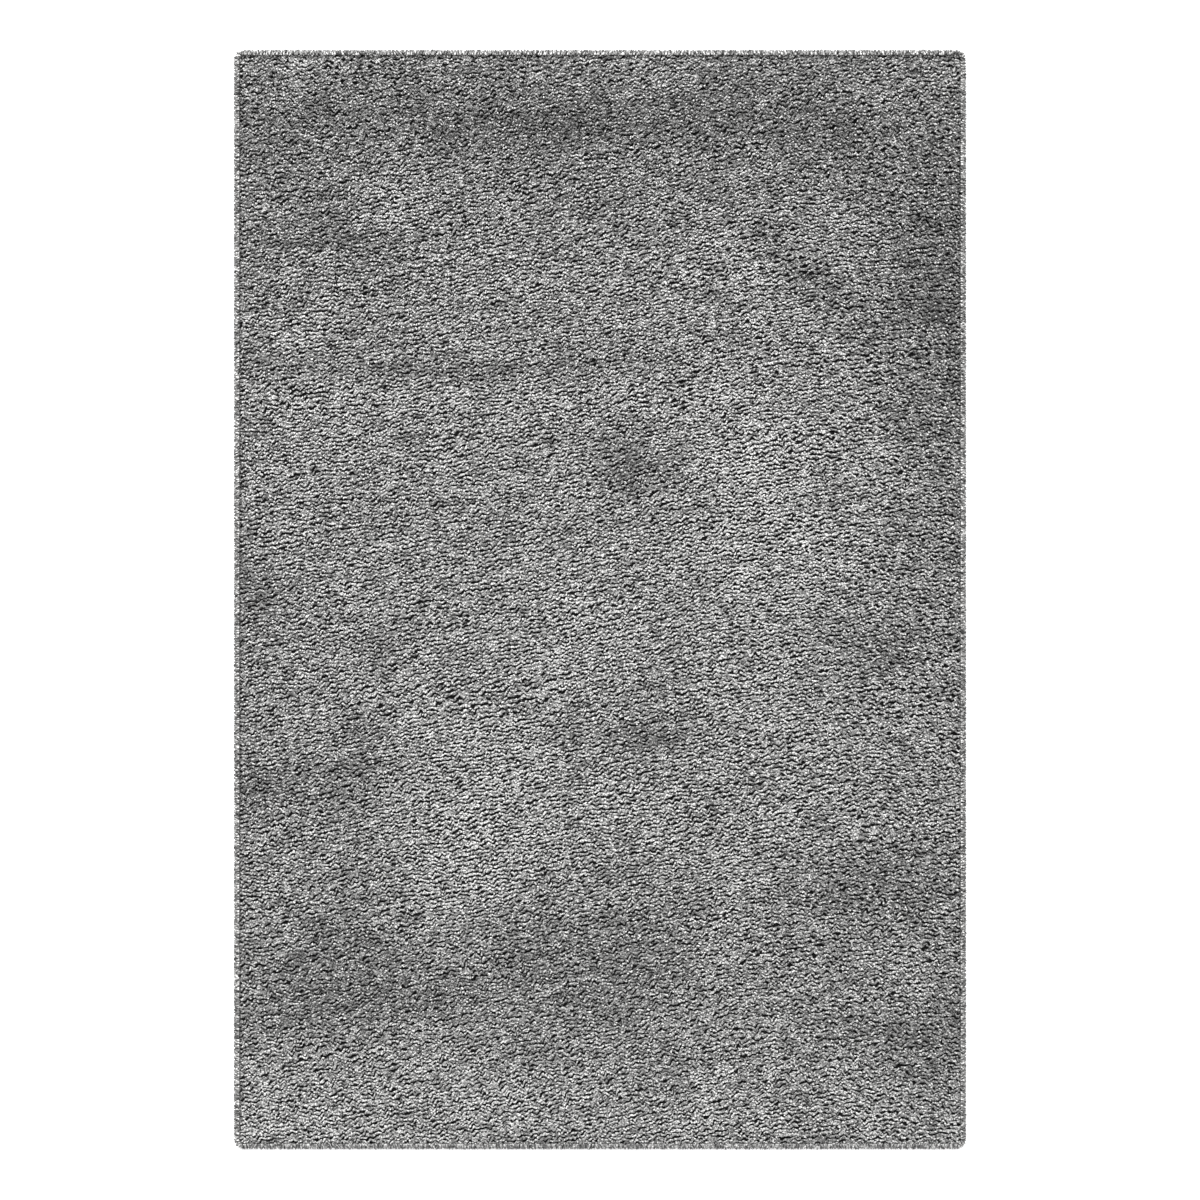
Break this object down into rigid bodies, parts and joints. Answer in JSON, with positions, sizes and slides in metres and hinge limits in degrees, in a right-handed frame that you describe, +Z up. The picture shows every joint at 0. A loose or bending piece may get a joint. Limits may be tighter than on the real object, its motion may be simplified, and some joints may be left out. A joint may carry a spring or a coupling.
{
  "type": "shag rug",
  "caption": "Plain rectangular shag rug lying flat: a dense, soft, brushed pile on a thin ground cloth, with loose locks of pile round the rim.",
  "frame": {"origin": "middle of the flat underside, on the floor", "axes": "+X along the width, +Y along the length towards the top of the picture, +Z up through the pile"},
  "size_m": [1.2, 1.8, 0.0371],
  "materials": {
    "pile": "matte brushed shag pile of fine mid-grey yarn",
    "ground_cloth": "plain woven backing cloth, seen from below"
  },
  "bodies": {
    "root": {"rug": "pile"}
  },
  "joints": []
}
